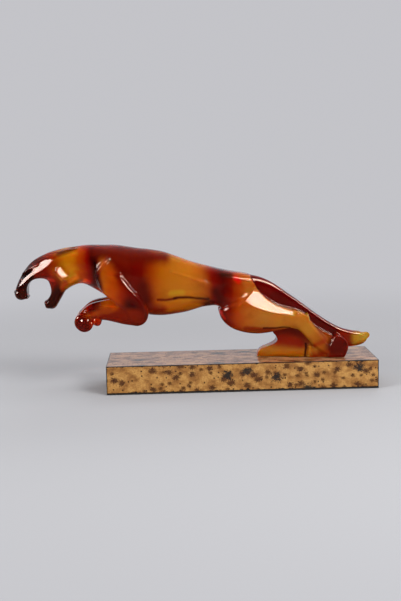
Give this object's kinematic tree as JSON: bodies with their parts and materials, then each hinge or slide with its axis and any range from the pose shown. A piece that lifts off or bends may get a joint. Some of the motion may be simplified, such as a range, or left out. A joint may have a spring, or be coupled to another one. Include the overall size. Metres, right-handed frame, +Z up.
{
  "type": "leaping big cat ornament",
  "caption": "Cast glass figure of a leaping big cat, bolted from below to a long rectangular veneered plinth with a felt base.",
  "frame": {"origin": "centre of the plinth's underside, on the felt", "axes": "+X along the plinth towards the cat's tail (the cat faces -X), +Y across the plinth, +Z up"},
  "size_m": [0.401, 0.08, 0.1638],
  "materials": {
    "amber_glass": "polished, streaked from honey yellow to near-black red",
    "gasket_rubber": "matt",
    "burl_veneer": "golden-tan burl with dark eyes under clear gloss lacquer",
    "core_board": "raw fibreboard",
    "felt": "pressed felt",
    "nut_brass": "turned",
    "stud_steel": "zinc plated"
  },
  "bodies": {
    "root": {"glass_figure": "amber_glass", "glass_pad": "gasket_rubber", "top_veneer": "burl_veneer", "front_veneer": "burl_veneer", "back_veneer": "burl_veneer", "left_end_veneer": "burl_veneer", "right_end_veneer": "burl_veneer", "upper_core_board": "core_board", "lower_core_board": "core_board", "felt_underlay": "felt", "front_stud": "stud_steel", "front_washer": "stud_steel", "front_nut": "nut_brass", "rear_stud": "stud_steel", "rear_washer": "stud_steel", "rear_nut": "nut_brass"}
  },
  "joints": []
}
